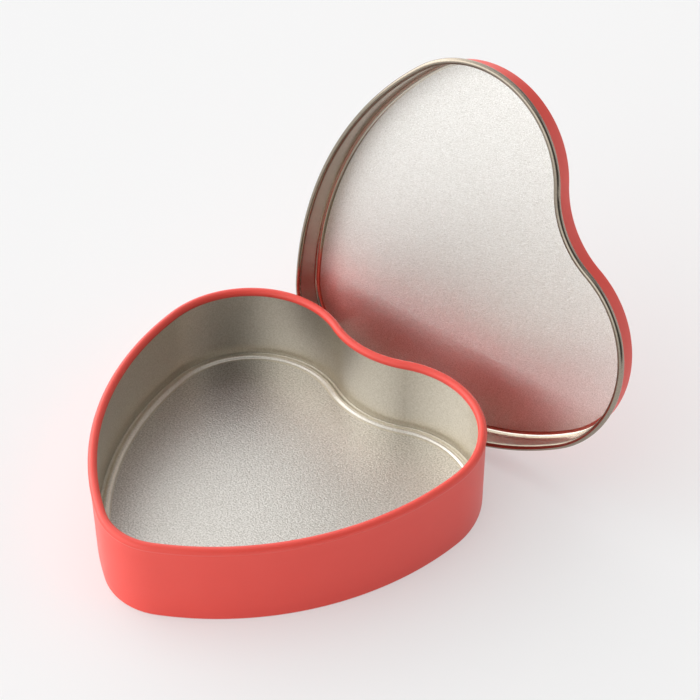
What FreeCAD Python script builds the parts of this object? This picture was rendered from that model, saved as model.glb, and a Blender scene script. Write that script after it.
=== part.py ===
import FreeCAD, Part
import math
import os

# A heart-shaped tin box of thin tinplate: a folded wall, a pressed bottom that the wall's
# foot holds, and a slip-on lid, which is off and stands on its side behind the box.
# Millimetres, +Z up. The origin is on the table, in the middle of the ground that the box
# and the lid take up together. The heart's cleft is towards +Y and its tip towards -Y.

Vector = FreeCAD.Vector
UP = Vector(0, 0, 1)

# Sheet
SHEET = 0.3                    # thickness of the tinplate

# Outline of the box, along the outside of its rim
LOBE_RADIUS = 32.3             # round of each upper lobe
LOBE_SPACING = 55.4            # distance between the centres of the two lobes
TIP_RADIUS = 21.7              # round of the lower tip
TIP_SETBACK = 62.9             # from the line of the lobe centres to the tip's centre
SIDE_RADIUS = 99.1             # long arc between a lobe and the tip
CLEFT_RADIUS = 31.8            # hollow arc between the two lobes

# Wall
WALL_HEIGHT = 28.8             # from the table to the top of the rim
RIM_RADIUS = 1.4               # outside of the rolled rim
RIM_TURN = 290.0               # degrees that the rim is rolled inwards
RIM_PROUD = 0.25               # the rim stands out from the wall below it by this
NECK_RADIUS = 1.0              # both bends between wall and rim
FOOT_RADIUS = 0.6              # outside of the bend at the foot
FOOT_WIDTH = 2.4               # from the wall's outside to the inner edge of the foot

# Bottom
BOTTOM_CLEARANCE = 0.1         # between the edge of the bottom and the bend at the foot
SEAT_WIDTH = 0.3               # flat ring that lies on the foot
BEAD_HEIGHT = 0.7              # height of the bead that is pressed up round the floor
BEAD_RADIUS = 1.0              # bends of the bead

# Lid
LID_CLEARANCE = 0.4            # between the lid's skirt and the rim
LID_DEPTH = 9.5                # from the open edge to the outside of the panel
LID_ROLL_RADIUS = 1.0          # outside of the rolled open edge
LID_ROLL_TURN = 290.0          # degrees that the open edge is rolled outwards
LID_CORNER_RADIUS = 1.4        # outside of the bend between skirt and panel

# Where the lid stands
LID_ANGLE = 38.0               # degrees from level to the line from its tip to its cleft
LID_SHIFT = 10.9               # from the middle of the box to the lid's middle, along X
LID_GAP = 0.1                  # free space between the box and the lid behind it


def heart_arcs():
    """The outline as arcs from the tip round to the tip: centre, radius, start, end, hollow."""
    length = LOBE_RADIUS + TIP_SETBACK + TIP_RADIUS
    lobe_y = length / 2 - LOBE_RADIUS
    tip = Vector(0, lobe_y - TIP_SETBACK, 0)
    lobe = Vector(LOBE_SPACING / 2, lobe_y, 0)
    cleft_rise = math.sqrt((LOBE_RADIUS + CLEFT_RADIUS) ** 2 - lobe.x ** 2)
    cleft = Vector(0, lobe_y + cleft_rise, 0)

    # The centre of the side arc is where circles about the lobe and the tip meet.
    to_lobe = SIDE_RADIUS - LOBE_RADIUS
    to_tip = SIDE_RADIUS - TIP_RADIUS
    span = tip.sub(lobe)
    along = (to_lobe ** 2 - to_tip ** 2 + span.Length ** 2) / (2 * span.Length)
    across = math.sqrt(to_lobe ** 2 - along ** 2)
    forward = Vector(span).normalize()
    sideways = forward.cross(UP)
    side = lobe + forward * along + sideways * across

    tip_end = bearing(side, tip)
    lobe_start = bearing(side, lobe)
    lobe_end = bearing(lobe, cleft)
    hollow_start = lobe_end - math.pi
    bottom = -math.pi / 2
    right = [
        (tip, TIP_RADIUS, bottom, tip_end, False),
        (side, SIDE_RADIUS, tip_end, lobe_start, False),
        (lobe, LOBE_RADIUS, lobe_start, lobe_end, False),
        (cleft, CLEFT_RADIUS, hollow_start, bottom, True),
    ]
    left = [mirrored(arc) for arc in reversed(right)]
    return right + left


def bearing(start, end):
    """Direction from one point to another in the XY plane, in radians."""
    return math.atan2(end.y - start.y, end.x - start.x)


def mirrored(arc):
    """The same arc on the other side of the YZ plane, run the other way."""
    centre, radius, start, end, hollow = arc
    return (Vector(-centre.x, centre.y, 0), radius, math.pi - end, math.pi - start, hollow)


def grown(arc, offset):
    """The radius of an arc after the outline has grown outwards by an offset."""
    centre, radius, start, end, hollow = arc
    if hollow:
        return radius - offset
    return radius + offset


def on_arc(centre, radius, angle):
    return centre + Vector(math.cos(angle), math.sin(angle), 0) * radius


def heart_face(offset, height):
    """A flat heart, with the outline grown by an offset, at a height."""
    edges = []
    for arc in heart_arcs():
        centre, radius, start, end, hollow = arc
        size = grown(arc, offset)
        middle = (start + end) / 2
        points = [on_arc(centre, size, angle) for angle in (start, middle, end)]
        edges.append(Part.Arc(*points).toShape())
    face = Part.Face(Part.Wire(edges))
    face.translate(UP * height)
    return face


class Strip:
    """The section of a bent sheet, followed along its middle in (offset, height)."""

    def __init__(self, offset, height, heading):
        self.place = (offset, height)
        self.heading = math.radians(heading)
        self.steps = []

    def side(self, shift):
        """The point beside the path, to its left, at a shift from the sheet's middle."""
        offset, height = self.place
        return (offset - shift * math.sin(self.heading), height + shift * math.cos(self.heading))

    def pair(self):
        return (self.side(SHEET / 2), self.side(-SHEET / 2))

    def straight(self, length):
        start = self.pair()
        offset, height = self.place
        self.place = (offset + length * math.cos(self.heading), height + length * math.sin(self.heading))
        self.steps.append((start, None, self.pair()))

    def bend(self, radius, turn):
        """Turn by degrees, to the left where positive, at a radius of the sheet's middle."""
        start = self.pair()
        self.turn_half(radius, turn)
        middle = self.pair()
        self.turn_half(radius, turn)
        self.steps.append((start, middle, self.pair()))

    def turn_half(self, radius, turn):
        angle = math.radians(turn) / 2
        chord = 2 * radius * math.sin(abs(angle) / 2)
        self.heading += angle / 2
        offset, height = self.place
        self.place = (offset + chord * math.cos(self.heading), height + chord * math.sin(self.heading))
        self.heading += angle / 2

    def step_over(self, radius, next_radius, rise):
        """Two opposite bends that move the sheet to its left by a rise, or right if negative."""
        turn = math.degrees(math.acos(1 - abs(rise) / (radius + next_radius)))
        turn = math.copysign(turn, rise)
        self.bend(radius, turn)
        self.bend(next_radius, -turn)

    def face(self, place_point):
        """The section as a face, with each (offset, height) placed in space by a function."""
        left = []
        right = []
        for start, middle, end in self.steps:
            for kept, side in ((left, 0), (right, 1)):
                ends = [place_point(start[side]), place_point(end[side])]
                if middle is None:
                    kept.append(Part.LineSegment(*ends).toShape())
                else:
                    kept.append(Part.Arc(ends[0], place_point(middle[side]), ends[1]).toShape())
        first = self.steps[0][0]
        last = self.steps[-1][2]
        caps = [Part.LineSegment(place_point(a), place_point(b)).toShape() for a, b in (first, last)]
        return Part.Face(Part.Wire(Part.__sortEdges__(left + right + caps)))


def ring(strip):
    """The strip's section carried round the heart: one revolved piece for each arc."""
    pieces = []
    for arc in heart_arcs():
        centre, radius, start, end, hollow = arc

        def place_point(point):
            offset, height = point
            return on_arc(centre, grown(arc, offset), start) + UP * height

        section = strip.face(place_point)
        pieces.append(section.revolve(centre, UP, math.degrees(end - start)))
    return pieces


def joined(pieces):
    """One solid from pieces that meet face to face."""
    solid = pieces[0].fuse(pieces[1:]).removeSplitter()
    return solid.Solids[0]


def sheet_plate(strip):
    """The flat sheet inside the ring, from the strip's open end inwards."""
    offset, height = strip.place
    return heart_face(offset, height - SHEET / 2).extrude(UP * SHEET)


def body_wall():
    neck_height = math.sqrt((4 * NECK_RADIUS - RIM_PROUD) * RIM_PROUD)
    strip = Strip(-RIM_PROUD - FOOT_WIDTH, SHEET / 2, 0)
    strip.straight(FOOT_WIDTH - FOOT_RADIUS)
    strip.bend(FOOT_RADIUS - SHEET / 2, 90)
    strip.straight(WALL_HEIGHT - RIM_RADIUS - neck_height - FOOT_RADIUS)
    strip.step_over(NECK_RADIUS, NECK_RADIUS, -RIM_PROUD)
    strip.bend(RIM_RADIUS - SHEET / 2, RIM_TURN)
    return joined(ring(strip))


def bottom_panel():
    edge = -RIM_PROUD - FOOT_RADIUS - BOTTOM_CLEARANCE
    strip = Strip(edge, SHEET + SHEET / 2, 180)
    strip.straight(SEAT_WIDTH)
    strip.step_over(BEAD_RADIUS, BEAD_RADIUS, -BEAD_HEIGHT)
    strip.step_over(BEAD_RADIUS, BEAD_RADIUS, BEAD_HEIGHT)
    return joined(ring(strip) + [sheet_plate(strip)])


def lid_closed():
    """The lid the way it sits on a box: open edge down, at height zero."""
    roll = LID_ROLL_RADIUS - SHEET / 2
    strip = Strip(*lid_roll_end(roll))
    strip.bend(roll, -LID_ROLL_TURN)
    strip.straight(LID_DEPTH - LID_CORNER_RADIUS - LID_ROLL_RADIUS)
    strip.bend(LID_CORNER_RADIUS - SHEET / 2, 90)
    return joined(ring(strip) + [sheet_plate(strip)])


def lid_roll_end(roll):
    """Where the rolled edge of the lid's sheet starts: offset, height and heading."""
    skirt = LID_CLEARANCE + SHEET / 2
    angle = math.radians(LID_ROLL_TURN - 180)
    offset = skirt + roll + roll * math.cos(angle)
    height = LID_ROLL_RADIUS + roll * math.sin(angle)
    return offset, height, 90 + LID_ROLL_TURN


def lid_lean():
    """Degrees that the lid leans back when its rolled edge and its corner both touch the table."""
    across = LID_ROLL_RADIUS + LID_CORNER_RADIUS - SHEET
    along = LID_DEPTH - LID_CORNER_RADIUS - LID_ROLL_RADIUS
    reach = LID_CORNER_RADIUS - LID_ROLL_RADIUS
    return math.degrees(math.acos(reach / math.hypot(across, along)) - math.atan2(along, across))


def lid_standing(box):
    """The lid on its side behind the box, leaning back, with its open side to the front."""
    lid = lid_closed()
    lid.rotate(Vector(), UP, -90 - LID_ANGLE)
    lid.rotate(Vector(), Vector(1, 0, 0), -90 - lid_lean())
    room = extent(lid)
    lid.translate(Vector(LID_SHIFT, extent(box).YMax + LID_GAP - room.YMin, -room.ZMin))
    return lid


def extent(shape):
    return shape.optimalBoundingBox(False, False)


def main():
    os.makedirs("parts", exist_ok=True)
    wall = body_wall()
    shapes = {
        "body_wall": wall,
        "bottom_panel": bottom_panel(),
        "lid": lid_standing(wall),
    }
    middle = extent(Part.makeCompound(list(shapes.values()))).Center
    for name, shape in shapes.items():
        shape.translate(Vector(-middle.x, -middle.y, 0))
        shape.exportStep(os.path.join("parts", name + ".step"))
        box = extent(shape)
        print(name, shape.isValid(), shape.ShapeType, "volume", round(shape.Volume, 1),
              "x", round(box.XMin, 2), round(box.XMax, 2), "y", round(box.YMin, 2), round(box.YMax, 2),
              "z", round(box.ZMin, 3), round(box.ZMax, 2))


main()
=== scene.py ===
# %% [markdown]
# A heart-shaped tin box with its lid off. Both are tinplate, which is thin steel sheet with a
# coat of tin: the outside is lacquered coral red, and the inside is left bare. The imported model
# is loaded first as a fixed frame. Every piece below is made in metres in that frame, so it goes
# where the frame has its node, and its size is compared with that node's as soon as it is placed.

import math

import bmesh
import bpy
from mathutils import Matrix, Vector


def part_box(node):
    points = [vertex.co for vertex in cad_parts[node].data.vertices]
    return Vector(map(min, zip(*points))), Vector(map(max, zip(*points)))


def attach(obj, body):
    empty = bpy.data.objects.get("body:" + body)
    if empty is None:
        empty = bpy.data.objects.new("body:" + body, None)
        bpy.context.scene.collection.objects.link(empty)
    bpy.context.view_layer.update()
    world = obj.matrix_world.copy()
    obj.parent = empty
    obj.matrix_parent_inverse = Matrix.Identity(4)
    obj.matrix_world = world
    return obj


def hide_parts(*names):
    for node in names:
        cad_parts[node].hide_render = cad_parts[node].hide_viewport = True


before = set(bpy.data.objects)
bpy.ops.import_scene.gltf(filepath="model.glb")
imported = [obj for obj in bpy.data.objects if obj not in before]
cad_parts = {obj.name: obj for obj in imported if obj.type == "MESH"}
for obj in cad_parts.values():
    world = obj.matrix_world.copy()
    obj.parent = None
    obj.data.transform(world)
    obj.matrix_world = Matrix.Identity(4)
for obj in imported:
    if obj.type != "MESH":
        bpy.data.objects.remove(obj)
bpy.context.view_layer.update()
MM = 0.001
print("nodes", sorted(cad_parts))

# %% [markdown]
# The camera comes before the pieces, because it decides what has to look right. A long lens from
# above keeps the two hearts nearly free of perspective, as in a product photograph. The direction
# is given as two angles round a point on the table, which is easier to adjust than a position.

# %% Camera
CAMERA_AZIMUTH = math.radians(40.70)
CAMERA_ELEVATION = math.radians(40.16)
CAMERA_DISTANCE = 647.1 * MM
CAMERA_TARGET = Vector((-36.47, 54.26, 0.0)) * MM
CAMERA_LENS = 97.62
CAMERA_SENSOR = 36.0

camera = bpy.data.objects.new("camera", bpy.data.cameras.new("camera"))
bpy.context.scene.collection.objects.link(camera)
bpy.context.scene.camera = camera
backward = Vector((
    math.sin(CAMERA_AZIMUTH) * math.cos(CAMERA_ELEVATION),
    -math.cos(CAMERA_AZIMUTH) * math.cos(CAMERA_ELEVATION),
    math.sin(CAMERA_ELEVATION),
))
camera.location = CAMERA_TARGET + backward * CAMERA_DISTANCE
camera.rotation_mode = "QUATERNION"
camera.rotation_quaternion = (-backward).to_track_quat("-Z", "Y")
camera.data.lens = CAMERA_LENS
camera.data.sensor_width = CAMERA_SENSOR
print("camera at", [round(place / MM) for place in camera.location], "mm")

# %% [markdown]
# The outline of the heart is drawn the way a toolmaker would draw it, with arcs that run smoothly
# into each other: a round tip, a long arc up each side, a round lobe and a hollow cleft. A curve
# object could trace it, but arcs give the exact outward direction at each point, and every bend of
# the sheet is measured along that direction.

# %% Arcs of the heart
LOBE_RADIUS = 32.3
LOBE_SPACING = 55.4
TIP_RADIUS = 21.7
TIP_SETBACK = 62.9
SIDE_RADIUS = 99.1
CLEFT_RADIUS = 31.8


def bearing(start, end):
    """Direction from one point to another, in radians."""
    return math.atan2(end.y - start.y, end.x - start.x)


def right_arcs():
    """Arcs from the tip up the right side to the cleft: centre, radius, start, end, hollow."""
    lobe_y = (LOBE_RADIUS + TIP_SETBACK + TIP_RADIUS) / 2 - LOBE_RADIUS
    tip = Vector((0, lobe_y - TIP_SETBACK))
    lobe = Vector((LOBE_SPACING / 2, lobe_y))
    cleft = Vector((0, lobe_y + math.sqrt((LOBE_RADIUS + CLEFT_RADIUS) ** 2 - lobe.x ** 2)))
    # The lobe and the tip lie inside the side arc's circle and touch it. So the distance of its
    # centre from each of theirs is known, and it is found as the third corner of a triangle.
    to_lobe = SIDE_RADIUS - LOBE_RADIUS
    to_tip = SIDE_RADIUS - TIP_RADIUS
    span = tip - lobe
    along = (to_lobe ** 2 - to_tip ** 2 + span.length ** 2) / (2 * span.length)
    across = math.sqrt(to_lobe ** 2 - along ** 2)
    forward = span.normalized()
    side = lobe + forward * along + Vector((forward.y, -forward.x)) * across
    down = -math.pi / 2
    lobe_end = bearing(lobe, cleft)
    return [
        (tip, TIP_RADIUS, down, bearing(side, tip), False),
        (side, SIDE_RADIUS, bearing(side, tip), bearing(side, lobe), False),
        (lobe, LOBE_RADIUS, bearing(side, lobe), lobe_end, False),
        (cleft, CLEFT_RADIUS, lobe_end - math.pi, down, True),
    ]


ARCS = right_arcs()
print("arcs on one side", len(ARCS), "of radius in mm", [arc[1] for arc in ARCS])

# %% [markdown]
# The arcs are then cut into short, nearly equal steps, which a toolmaker would call stations. Each
# station keeps its point and the direction outwards there. Only the right half is stepped along,
# and the left half is its mirror image, so that both halves match exactly.

# %% Stations round the heart
STATION_SPACING = 0.9
LEAST_STEPS = 2


def heart_stations():
    """Points round the heart with the direction outwards at each of them."""
    stations = []
    for centre, radius, start, end, hollow in ARCS:
        count = max(LEAST_STEPS, round(abs(end - start) * radius / STATION_SPACING))
        for step in range(count):
            angle = start + (end - start) * step / count
            ray = Vector((math.cos(angle), math.sin(angle)))
            stations.append((centre + ray * radius, -ray if hollow else ray))
    cleft_centre, cleft_radius = ARCS[-1][:2]
    cleft_bottom = (cleft_centre + Vector((0, -cleft_radius)), Vector((0, 1)))
    mirrored = []
    for place, outward in reversed(stations[1:]):
        mirrored.append((Vector((-place.x, place.y)), Vector((-outward.x, outward.y))))
    return stations + [cleft_bottom] + mirrored


STATIONS = heart_stations()
print("stations round the heart", len(STATIONS))

# %% [markdown]
# Everything here is bent sheet, so one tool makes it all: a section that is followed along the
# middle of the sheet, straight on and round bends, while it notes a point on each side. Extruding
# a flat profile and adding a Solidify modifier would also work, but a rolled edge closes on itself,
# and there Solidify cuts into its own wall.

# %% Section of a bent sheet
SHEET = 0.3
BEND_STEP = math.radians(13)
STRAIGHT_STEP = 3.0


class SheetSection:
    """A bent sheet's section, in mm outwards from the heart's outline and upwards."""

    def __init__(self, offset, height, heading):
        self.place = Vector((offset, height))
        self.heading = math.radians(heading)
        self.left = []
        self.right = []
        self.note_sides()

    def note_sides(self):
        """Keeps a point on each side of the sheet, half its thickness from the middle."""
        across = Vector((-math.sin(self.heading), math.cos(self.heading))) * SHEET / 2
        self.left.append(self.place + across)
        self.right.append(self.place - across)

    def walk(self, length):
        """Moves along the heading without noting a point."""
        self.place = self.place + Vector((math.cos(self.heading), math.sin(self.heading))) * length

    def straight(self, length):
        """Goes straight on, in steps short enough for even faces."""
        count = math.ceil(length / STRAIGHT_STEP)
        for step in range(count):
            self.walk(length / count)
            self.note_sides()

    def bend(self, radius, turn):
        """Turns by degrees, to the left where positive, at a radius of the sheet's middle."""
        angle = math.radians(turn)
        count = math.ceil(abs(angle) / BEND_STEP)
        part = angle / count
        for step in range(count):
            self.heading += part / 2
            self.walk(2 * radius * math.sin(abs(part) / 2))
            self.heading += part / 2
            self.note_sides()

    def step_over(self, radius, next_radius, rise):
        """Two opposite bends that move the sheet to its left by a rise, or right if negative."""
        turn = math.degrees(math.acos(1 - abs(rise) / (radius + next_radius)))
        turn = math.copysign(turn, rise)
        self.bend(radius, turn)
        self.bend(next_radius, -turn)


print("sheet", SHEET, "mm thick, bent in steps of up to", round(math.degrees(BEND_STEP)), "degrees")

# %% [markdown]
# A pressed plate has a wide flat middle. A single big face would do for its shape, but its shading
# would be uneven, because its corners lie far apart. So the middle is filled with rings of small
# faces that shrink towards a point inside the heart.

# %% Fill a flat middle
MIDDLE_RINGS = 14
MIDDLE_POINT = Vector((0, 4))


def add_middle(mesh, border, slot):
    """Fills the flat inside of a border of vertices with rings that shrink to one point."""
    height = border[0].co.z
    centre = Vector((MIDDLE_POINT.x * MM, MIDDLE_POINT.y * MM, height))
    ring = border
    count = len(border)
    for step in range(1, MIDDLE_RINGS):
        share = 1 - step / MIDDLE_RINGS
        inner = [mesh.verts.new(centre + (vertex.co - centre) * share) for vertex in border]
        for i in range(count):
            after = (i + 1) % count
            mesh.faces.new((ring[i], ring[after], inner[after], inner[i])).material_index = slot
        ring = inner
    tip = mesh.verts.new(centre)
    for i in range(count):
        mesh.faces.new((ring[i], ring[(i + 1) % count], tip)).material_index = slot


print("a flat middle has", MIDDLE_RINGS * len(STATIONS), "faces")

# %% [markdown]
# The section is carried round all stations, which gives clean rows of quads. Each face notes a
# material slot while it is made: the two sides of the sheet differ, because one is lacquered and
# the other is bare, and so do a flat middle and a rolled edge. Picking faces by hand afterwards
# would do the same, but it would have to be done again after each change of a size.

# %% Carry a section round the heart
RIGHT_SIDE = 0
LEFT_SIDE = 1
FLAT_MIDDLE = 2
ROLLED_EDGE = 3
SHARP_ANGLE = math.radians(50)


def carry_round(name, section, middle_slots=None, rolled_points=0):
    """A closed mesh of the section carried round the heart, with a flat middle if slots are given."""
    outline = list(reversed(section.right)) + section.left
    mesh = bmesh.new()
    rows = []
    for place, outward in STATIONS:
        row = []
        for point in outline:
            flat = place + outward * point.x
            row.append(mesh.verts.new(Vector((flat.x, flat.y, point.y)) * MM))
        rows.append(row)
    count = len(outline)
    strips = count if middle_slots is None else count - 1
    cut_edge = len(section.right) - 1
    side_slots = [RIGHT_SIDE] * cut_edge + [ROLLED_EDGE] * rolled_points
    side_slots += [LEFT_SIDE] * (strips - len(side_slots))
    for i, row in enumerate(rows):
        after = rows[(i + 1) % len(rows)]
        for j in range(strips):
            up = (j + 1) % count
            face = mesh.faces.new((row[j], after[j], after[up], row[up]))
            face.material_index = side_slots[j]
    if middle_slots is not None:
        add_middle(mesh, [row[0] for row in rows], middle_slots[0])
        add_middle(mesh, [row[-1] for row in rows], middle_slots[1])
    bmesh.ops.recalc_face_normals(mesh, faces=mesh.faces)
    for face in mesh.faces:
        face.smooth = True
    data = bpy.data.meshes.new(name)
    mesh.to_mesh(data)
    mesh.free()
    data.set_sharp_from_angle(angle=SHARP_ANGLE)
    piece = bpy.data.objects.new(name, data)
    bpy.context.scene.collection.objects.link(piece)
    return piece


print("edges sharper than", round(math.degrees(SHARP_ANGLE)), "degrees stay sharp")

# %% [markdown]
# A piece is made round the middle of its heart, so it still has to go to its place. The frame knows
# the box of each node. Moving the mesh until the lowest corners meet is enough, and the highest
# corners then tell how well the piece fits: what they are apart is printed for each piece.

# %% Put a piece at its node


def put_at_node(piece, node):
    """Moves a piece's mesh so that its lowest corner is at its node's, and prints how well it fits."""
    low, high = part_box(node)
    places = [vertex.co for vertex in piece.data.vertices]
    corner = Vector([min(place[axis] for place in places) for axis in range(3)])
    piece.data.transform(Matrix.Translation(low - corner))
    top = Vector([max(vertex.co[axis] for vertex in piece.data.vertices) for axis in range(3)])
    print(piece.name, len(piece.data.polygons), "faces, off its node by mm",
          [round((made - wanted) / MM, 3) for made, wanted in zip(top, high)])


print("nodes to fill", len(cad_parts))

# %% [markdown]
# The wall of the box is one strip of sheet. Its foot is turned inwards to a flat ring that the box
# stands on, and its top edge is rolled inwards nearly all the way round, which hides the sharp cut
# edge and carries the lacquer over the rim. A slight neck below the rim lets it stand out from the
# wall, and that is what draws the fine crease under it.

# %% Wall of the box
WALL_HEIGHT = 28.8
RIM_RADIUS = 1.4
RIM_TURN = 290.0
RIM_PROUD = 0.25
NECK_RADIUS = 1.0
FOOT_RADIUS = 0.6
FOOT_WIDTH = 2.4

neck_height = math.sqrt((4 * NECK_RADIUS - RIM_PROUD) * RIM_PROUD)
wall_section = SheetSection(-RIM_PROUD - FOOT_WIDTH, SHEET / 2, 0)
wall_section.straight(FOOT_WIDTH - FOOT_RADIUS)
wall_section.bend(FOOT_RADIUS - SHEET / 2, 90)
wall_section.straight(WALL_HEIGHT - RIM_RADIUS - neck_height - FOOT_RADIUS)
wall_section.step_over(NECK_RADIUS, NECK_RADIUS, -RIM_PROUD)
wall_section.bend(RIM_RADIUS - SHEET / 2, RIM_TURN)
box_wall = carry_round("box_wall", wall_section)
put_at_node(box_wall, "body_wall")
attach(box_wall, "box")
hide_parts("body_wall")

# %% [markdown]
# The bottom is pressed from its own sheet. It lies on the foot of the wall with a narrow flat ring,
# and a low bead is pressed up all round the floor to stiffen it. The light breaks in that bead: its
# slope to the wall is a dark line, and its slope to the floor is a bright one. The last short flat
# keeps the shading of the bend from running out over the wide faces of the floor.

# %% Bottom of the box
BOTTOM_CLEARANCE = 0.1
SEAT_WIDTH = 0.3
BEAD_HEIGHT = 0.7
BEAD_RADIUS = 1.0
FLAT_EDGE = 0.4

bottom_edge = -RIM_PROUD - FOOT_RADIUS - BOTTOM_CLEARANCE
bottom_section = SheetSection(bottom_edge, SHEET + SHEET / 2, 180)
bottom_section.straight(SEAT_WIDTH)
bottom_section.step_over(BEAD_RADIUS, BEAD_RADIUS, -BEAD_HEIGHT)
bottom_section.step_over(BEAD_RADIUS, BEAD_RADIUS, BEAD_HEIGHT)
bottom_section.straight(FLAT_EDGE)
box_bottom = carry_round("box_bottom", bottom_section, (FLAT_MIDDLE, FLAT_MIDDLE))
put_at_node(box_bottom, "bottom_panel")
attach(box_bottom, "box")
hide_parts("bottom_panel")

# %% [markdown]
# The lid is drawn from one sheet: a rolled open edge, a skirt, a tight rounded corner and a flat
# panel. It is made level, as it would sit on the box, and then turned to the place where it stands
# on its side behind the box. The number of points in the roll is kept, because the roll has a
# finish of its own.

# %% Lid
LID_CLEARANCE = 0.4
LID_DEPTH = 9.5
LID_ROLL_RADIUS = 1.0
LID_ROLL_TURN = 290.0
LID_CORNER_RADIUS = 1.4
LID_ANGLE = 38.0
LID_LEAN = 13.38

roll = LID_ROLL_RADIUS - SHEET / 2
roll_end = math.radians(LID_ROLL_TURN - 180)
lid_section = SheetSection(
    LID_CLEARANCE + SHEET / 2 + roll + roll * math.cos(roll_end),
    LID_ROLL_RADIUS + roll * math.sin(roll_end),
    90 + LID_ROLL_TURN,
)
lid_section.bend(roll, -LID_ROLL_TURN)
rolled_points = len(lid_section.left)
lid_section.straight(LID_DEPTH - LID_CORNER_RADIUS - LID_ROLL_RADIUS)
lid_section.bend(LID_CORNER_RADIUS - SHEET / 2, 90)
lid_section.straight(FLAT_EDGE)
tin_lid = carry_round("tin_lid", lid_section, (RIGHT_SIDE, FLAT_MIDDLE), rolled_points)
tin_lid.data.transform(Matrix.Rotation(math.radians(-90 - LID_ANGLE), 4, "Z"))
tin_lid.data.transform(Matrix.Rotation(math.radians(-90 - LID_LEAN), 4, "X"))
put_at_node(tin_lid, "lid")
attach(tin_lid, "lid")
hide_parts("lid")

# %% [markdown]
# Colours are written as they look on a screen, as sRGB hex values. Blender's shaders count light,
# so each value is turned to linear once, here. A small helper adds a node with its settings and
# links, so that what follows reads as a short list of what feeds what.

# %% Helpers for colours and nodes


def linear(colour):
    """An sRGB hex value such as #DE5248 as linear red, green, blue and alpha."""
    channels = [int(colour[start:start + 2], 16) / 255 for start in (1, 3, 5)]
    light = [part / 12.92 if part <= 0.04045 else ((part + 0.055) / 1.055) ** 2.4 for part in channels]
    return light + [1.0]


def add_node(tree, kind, settings=None, inputs=None, links=None):
    """Adds a node, sets its properties and input values, and links outputs to its inputs."""
    node = tree.nodes.new(kind)
    for name, value in (settings or {}).items():
        setattr(node, name, value)
    for name, value in (inputs or {}).items():
        node.inputs[name].default_value = value
    for name, output in (links or {}).items():
        tree.links.new(output, node.inputs[name])
    return node


def new_material(name):
    """A material and its empty tree."""
    material = bpy.data.materials.new(name)
    material.use_nodes = True
    tree = material.node_tree
    tree.nodes.clear()
    return material, tree


print("half grey is", round(linear("#808080")[0], 3), "in linear light")

# %% [markdown]
# The outside is coral lacquer, rolled onto the flat sheet and baked before the tin is pressed.
# Baking leaves a satin skin with a faint orange-peel, and the colour is even with only a breath of
# mottling. Lacquer is a clear resin full of pigment, so it is not a metal: its IOR is near 1.5. A
# painted image could give the mottling, but noise in the piece's own space needs no unwrapping. Its
# scale is the number of cells in a metre, so it is worked out from the size of a cell in mm.

# %% Coral lacquer baked on tinplate
LACQUER_TONES = ("#F14D41", "#F55449")
LACQUER_ROUGHNESS = (0.36, 0.44)
LACQUER_IOR = 1.5
MOTTLE_MM = 14.0
MOTTLE_DETAIL = 3.0
PEEL_MM = 0.9
PEEL_DETAIL = 1.0
PEEL_HEIGHT_MM = 0.01
PEEL_STRENGTH = 0.25


def baked_lacquer():
    """Coral lacquer with a faint mottle in its colour and gloss, and a fine orange-peel."""
    material, tree = new_material("coral_lacquer_baked_on_tinplate")
    place = add_node(tree, "ShaderNodeTexCoord").outputs["Object"]
    mottle = add_node(tree, "ShaderNodeTexNoise", None,
                      {"Scale": 1 / (MOTTLE_MM * MM), "Detail": MOTTLE_DETAIL}, {"Vector": place})
    colour = add_node(tree, "ShaderNodeValToRGB", None, None, {"Fac": mottle.outputs["Fac"]})
    for stop, tone in zip(colour.color_ramp.elements, LACQUER_TONES):
        stop.color = linear(tone)
    gloss = add_node(tree, "ShaderNodeMapRange", None,
                     {"To Min": LACQUER_ROUGHNESS[0], "To Max": LACQUER_ROUGHNESS[1]},
                     {"Value": mottle.outputs["Fac"]})
    peel = add_node(tree, "ShaderNodeTexNoise", None,
                    {"Scale": 1 / (PEEL_MM * MM), "Detail": PEEL_DETAIL}, {"Vector": place})
    skin = add_node(tree, "ShaderNodeBump", None,
                    {"Strength": PEEL_STRENGTH, "Distance": PEEL_HEIGHT_MM * MM},
                    {"Height": peel.outputs["Fac"]})
    shader = add_node(tree, "ShaderNodeBsdfPrincipled", None, {"IOR": LACQUER_IOR}, {
        "Base Color": colour.outputs["Color"],
        "Roughness": gloss.outputs["Result"],
        "Normal": skin.outputs["Normal"],
    })
    add_node(tree, "ShaderNodeOutputMaterial", None, None, {"Surface": shader.outputs["BSDF"]})
    return material


# A warm red with broad, soft highlights that never turn to mirrors.
lacquer = baked_lacquer()
print("made", lacquer.name)

# %% [markdown]
# The inside is bare tinplate, and one function makes it in any finish. The same noise gives bumps,
# which scatter what the metal mirrors, and a tone for each pebble of the grain, which keeps the
# grain in view where there is little to mirror. A wider noise makes the shine a little patchy.
# Real grain is about 0.1 mm, too fine to show here, so it is drawn several times as coarse.

# %% Bare tinplate
COARSE_GRAIN_MM = 0.55
FINE_GRAIN_MM = 0.28
GRAIN_DETAIL = 2.0
GRAIN_HARSHNESS = 0.6
GRAIN_ENDS = (0.3, 0.7)
GRAIN_STRENGTH = 1.0
SHINE_PATCH_MM = 9.0
SHINE_PATCH_DETAIL = 2.0


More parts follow.
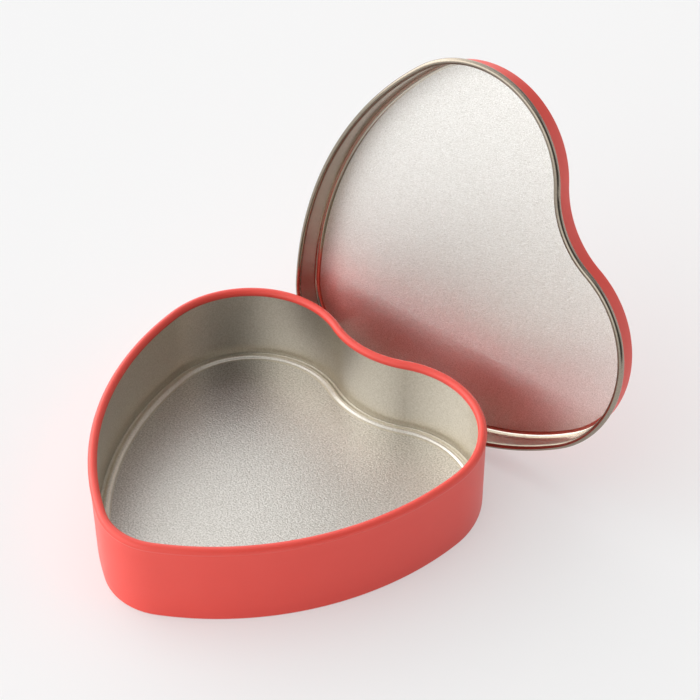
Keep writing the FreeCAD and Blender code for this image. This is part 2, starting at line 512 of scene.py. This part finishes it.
def bare_tinplate(name, grain_mm, height_mm, roughness, tones):
    """Bare tinplate with pebbles of a size and height in mm, a range of roughness and two tones."""
    material, tree = new_material(name)
    place = add_node(tree, "ShaderNodeTexCoord").outputs["Object"]
    grain = add_node(tree, "ShaderNodeTexNoise", None, {
        "Scale": 1 / (grain_mm * MM),
        "Detail": GRAIN_DETAIL,
        "Roughness": GRAIN_HARSHNESS,
    }, {"Vector": place})
    colour = add_node(tree, "ShaderNodeValToRGB", None, None, {"Fac": grain.outputs["Fac"]})
    for stop, end, tone in zip(colour.color_ramp.elements, GRAIN_ENDS, tones):
        stop.position = end
        stop.color = linear(tone)
    patches = add_node(tree, "ShaderNodeTexNoise", None,
                       {"Scale": 1 / (SHINE_PATCH_MM * MM), "Detail": SHINE_PATCH_DETAIL},
                       {"Vector": place})
    shine = add_node(tree, "ShaderNodeMapRange", None,
                     {"To Min": roughness[0], "To Max": roughness[1]},
                     {"Value": patches.outputs["Fac"]})
    pebbles = add_node(tree, "ShaderNodeBump", None,
                       {"Strength": GRAIN_STRENGTH, "Distance": height_mm * MM},
                       {"Height": grain.outputs["Fac"]})
    shader = add_node(tree, "ShaderNodeBsdfPrincipled", None, {"Metallic": 1.0}, {
        "Base Color": colour.outputs["Color"],
        "Roughness": shine.outputs["Result"],
        "Normal": pebbles.outputs["Normal"],
    })
    add_node(tree, "ShaderNodeOutputMaterial", None, None, {"Surface": shader.outputs["BSDF"]})
    print("made", material.name)
    return material


print("grain", FINE_GRAIN_MM, "or", COARSE_GRAIN_MM, "mm wide")

# %% [markdown]
# There are six finishes, and each comes from the tool that touched the metal last. The wall of the
# box was drawn smooth round its former. The lid's skirt was pushed through a tight ring, which irons
# it shiny. Its edge was curled, and the curl's darker tone is painted shade, which stands in for the
# dark that the curl mirrors. The bead was rubbed hardest. The lid's panel keeps the fine grain of
# the rolling mill, and the floor was pressed between the tools, which leaves a coarser and shinier
# grain.

# %% Six finishes of tinplate
SMOOTH_HEIGHT_MM = 0.002

# A soft satin, in which the light and dark halves of the wall run into each other.
drawn_tin = bare_tinplate(
    "tinplate_drawn_smooth", COARSE_GRAIN_MM, height_mm=0.012,
    roughness=(0.31, 0.37), tones=("#CEC8BA", "#E3DED3"),
)
# A shiny band that mirrors the red of the box.
ironed_tin = bare_tinplate(
    "tinplate_ironed_shiny", COARSE_GRAIN_MM, height_mm=SMOOTH_HEIGHT_MM,
    roughness=(0.16, 0.21), tones=("#C9C1B4", "#D2CABE"),
)
# A dark line round the lid with a thin bright crest. Its darker tones are painted shade, which
# stands in for the dark that the curl mirrors.
curled_tin_painted_shade = bare_tinplate(
    "tinplate_curled_edge_painted_shade", COARSE_GRAIN_MM, height_mm=SMOOTH_HEIGHT_MM,
    roughness=(0.16, 0.22), tones=("#958B7D", "#A2988A"),
)
# A sharp bright line round the floor.
burnished_tin = bare_tinplate(
    "tinplate_burnished", COARSE_GRAIN_MM, height_mm=SMOOTH_HEIGHT_MM,
    roughness=(0.13, 0.19), tones=("#E4E1DA", "#EAE7E1"),
)
# A pale, fine sparkle that blurs the mirrored box to a soft red patch.
mill_tin = bare_tinplate(
    "tinplate_mill_grained", FINE_GRAIN_MM, height_mm=0.11,
    roughness=(0.32, 0.37), tones=("#CDCAC3", "#FAF9F6"),
)
# A coarser sparkle, strong where bright and dark reflections meet.
pressed_tin = bare_tinplate(
    "tinplate_pressed_flat", COARSE_GRAIN_MM, height_mm=0.16,
    roughness=(0.28, 0.33), tones=("#B2AEA6", "#EAE7E2"),
)

# %% [markdown]
# Each piece now gets its finishes, in the order of the slots that its faces were given. One sheet
# can carry lacquer on one side and bare metal on the other because the slot is kept per face, which
# spares a second object for each coat.

# %% Give the pieces their finishes
for piece, finishes in (
    (box_wall, (lacquer, drawn_tin)),
    (box_bottom, (drawn_tin, burnished_tin, pressed_tin)),
    (tin_lid, (lacquer, ironed_tin, mill_tin, curled_tin_painted_shade)),
):
    for finish in finishes:
        piece.data.materials.append(finish)
    print(piece.name, "has", [finish.name for finish in finishes])

# %% [markdown]
# The box stands on a sheet of matt white paper. It is a plain disc, and so wide that its edge stays
# out of view from low down too.

# %% Floor
FLOOR_RADIUS = 20.0
FLOOR_SEGMENTS = 96

floor_mesh = bmesh.new()
bmesh.ops.create_circle(floor_mesh, cap_ends=True, radius=FLOOR_RADIUS, segments=FLOOR_SEGMENTS)
floor_data = bpy.data.meshes.new("floor")
floor_mesh.to_mesh(floor_data)
floor_mesh.free()
floor = bpy.data.objects.new("floor", floor_data)
bpy.context.scene.collection.objects.link(floor)
print("floor", 2 * FLOOR_RADIUS, "m across")

# %% [markdown]
# In a studio the backdrop gets light of its own, and that thins the shadow on it. Here a little
# under half of what the camera sees of the paper, straight or in the metal, is such even light. The
# rest is lit by the lamps and keeps the shadow. The Light Path node limits this to those rays, so
# the backdrop puts no extra light on the box.

# %% Paper of the floor
PAPER = "#F7F7F7"
BACKDROP_SHARE = 0.42

# A clean white that still shows the soft shadow and a blush of red beside the box.
paper, paper_tree = new_material("matt_white_paper")
lit_paper = add_node(paper_tree, "ShaderNodeBsdfDiffuse", None, {"Color": linear(PAPER)})
even_paper = add_node(paper_tree, "ShaderNodeEmission", None, {"Color": linear(PAPER), "Strength": 1.0})
ray = add_node(paper_tree, "ShaderNodeLightPath").outputs
mirrored = add_node(paper_tree, "ShaderNodeMath", {"operation": "MAXIMUM"}, None,
                    {0: ray["Is Glossy Ray"], 1: ray["Is Transmission Ray"]})
seen = add_node(paper_tree, "ShaderNodeMath", {"operation": "MAXIMUM"}, None,
                {0: ray["Is Camera Ray"], 1: mirrored.outputs["Value"]})
share = add_node(paper_tree, "ShaderNodeMath", {"operation": "MULTIPLY"}, {1: BACKDROP_SHARE},
                 {0: seen.outputs["Value"]})
paper_shader = add_node(paper_tree, "ShaderNodeMixShader", None, None, {
    "Fac": share.outputs["Value"],
    1: lit_paper.outputs["BSDF"],
    2: even_paper.outputs["Emission"],
})
add_node(paper_tree, "ShaderNodeOutputMaterial", None, None, {"Surface": paper_shader.outputs["Shader"]})
floor.data.materials.append(paper)
print("made", paper.name, "with a backdrop share of", BACKDROP_SHARE)

# %% [markdown]
# The light is a white studio. Bare metal shows whatever surrounds it, so the room matters more than
# the lamp: soft windows stand low round the box, bright to the left, dimmer behind the box and to
# the right, and none behind the camera. That gives the inside its dark and light walls. Area lamps
# could be the windows, but they would show as hard shapes in the metal. So each window is a
# direction in which the world is brightest, with a smooth fall all round it.

# %% Room
ROOM_LEVEL = 0.02
WINDOW_ELEVATION = math.radians(18)
WINDOW_SHARPNESS = 8.0
# Each window's azimuth in degrees and its level.
WINDOWS = ((45, 1.2), (135, 1.5), (180, 3.1), (225, 2.5), (270, 1.8))

world = bpy.data.worlds.new("studio")
bpy.context.scene.world = world
world.use_nodes = True
world_tree = world.node_tree
world_tree.nodes.clear()
direction = add_node(world_tree, "ShaderNodeTexCoord").outputs["Generated"]
room = add_node(world_tree, "ShaderNodeBackground", None, {"Color": linear("#FFFFFF")})
light_so_far = None
for azimuth, level in WINDOWS:
    turn = Matrix.Rotation(math.radians(azimuth), 3, "Z")
    towards = turn @ Vector((math.cos(WINDOW_ELEVATION), 0, math.sin(WINDOW_ELEVATION)))
    nearness = add_node(world_tree, "ShaderNodeVectorMath", {"operation": "DOT_PRODUCT"},
                        {1: towards}, {0: direction})
    fall = add_node(world_tree, "ShaderNodeMath", {"operation": "MULTIPLY_ADD"},
                    {1: WINDOW_SHARPNESS, 2: -WINDOW_SHARPNESS}, {0: nearness.outputs["Value"]})
    glow = add_node(world_tree, "ShaderNodeMath", {"operation": "EXPONENT"}, None,
                    {0: fall.outputs["Value"]})
    total = add_node(world_tree, "ShaderNodeMath", {"operation": "MULTIPLY_ADD"},
                     {1: level, 2: ROOM_LEVEL}, {0: glow.outputs["Value"]})
    if light_so_far is not None:
        world_tree.links.new(light_so_far, total.inputs[2])
    light_so_far = total.outputs["Value"]
world_tree.links.new(light_so_far, room.inputs["Strength"])
add_node(world_tree, "ShaderNodeOutputWorld", None, None, {"Surface": room.outputs["Background"]})
print("windows", len(WINDOWS), "and room level", ROOM_LEVEL)

# %% [markdown]
# A large soft box overhead lights the floor and the rims. Its strength is written as radiance, which
# is how bright its cloth looks, because that is what the metal mirrors: below one, it leaves no hot
# spots. Blender wants watts, so the radiance is multiplied by the area and by pi. The view transform
# is Standard, which shows each colour as it is written.

# %% Soft box
SOFT_BOX_SIZE = 1.4
SOFT_BOX_RADIANCE = 0.8
SOFT_BOX_PLACE = Vector((-0.1, 0.1, 1.4))

soft_box_light = bpy.data.lights.new("soft_box", "AREA")
soft_box_light.shape = "SQUARE"
soft_box_light.size = SOFT_BOX_SIZE
soft_box_light.energy = SOFT_BOX_RADIANCE * math.pi * SOFT_BOX_SIZE ** 2
soft_box = bpy.data.objects.new("soft_box", soft_box_light)
soft_box.location = SOFT_BOX_PLACE
soft_box.rotation_mode = "QUATERNION"
soft_box.rotation_quaternion = (-SOFT_BOX_PLACE).to_track_quat("-Z", "Y")
bpy.context.scene.collection.objects.link(soft_box)
bpy.context.scene.view_settings.view_transform = "Standard"
print("soft box", round(soft_box_light.energy, 1), "W at", round(SOFT_BOX_PLACE.length, 2), "m")
